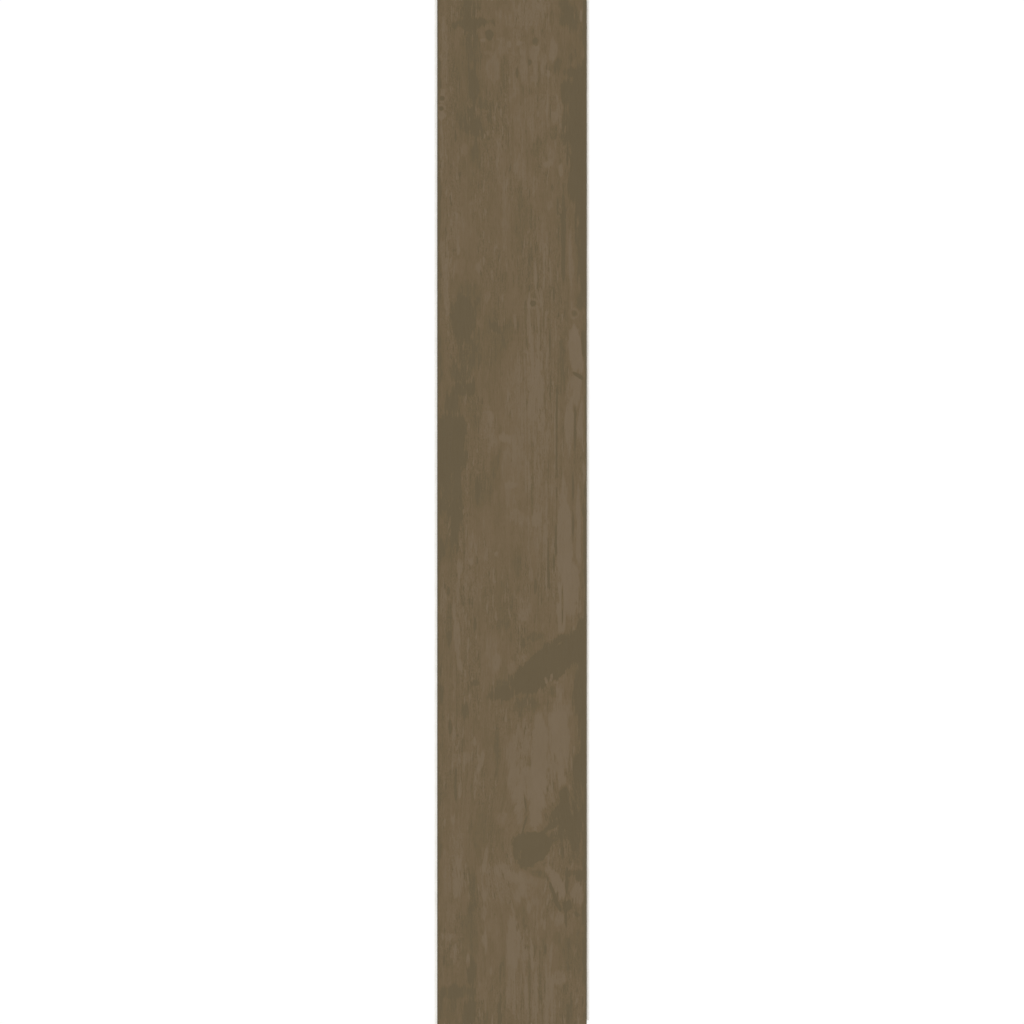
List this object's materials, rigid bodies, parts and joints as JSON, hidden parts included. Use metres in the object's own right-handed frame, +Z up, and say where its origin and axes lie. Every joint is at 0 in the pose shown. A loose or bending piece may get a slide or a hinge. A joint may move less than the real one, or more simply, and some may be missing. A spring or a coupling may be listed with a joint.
{
  "type": "rigid core vinyl plank",
  "caption": "Rigid core vinyl floor plank with a brown oak print, bevelled long edges and a click lock milled into all four sides.",
  "frame": {"origin": "on the underside, below the middle of the wearing face between its four joint lines", "axes": "+X across the plank towards the lower lip, +Y along the grain towards the end with the lower lip, +Z up out of the wearing face"},
  "size_m": [0.1836, 1.2241, 0.005],
  "materials": {
    "plank": "matt, embossed wood-grain print on the face, painted bevels, plain mineral core on the edges and underside"
  },
  "bodies": {
    "root": {"plank": "plank"}
  },
  "joints": []
}
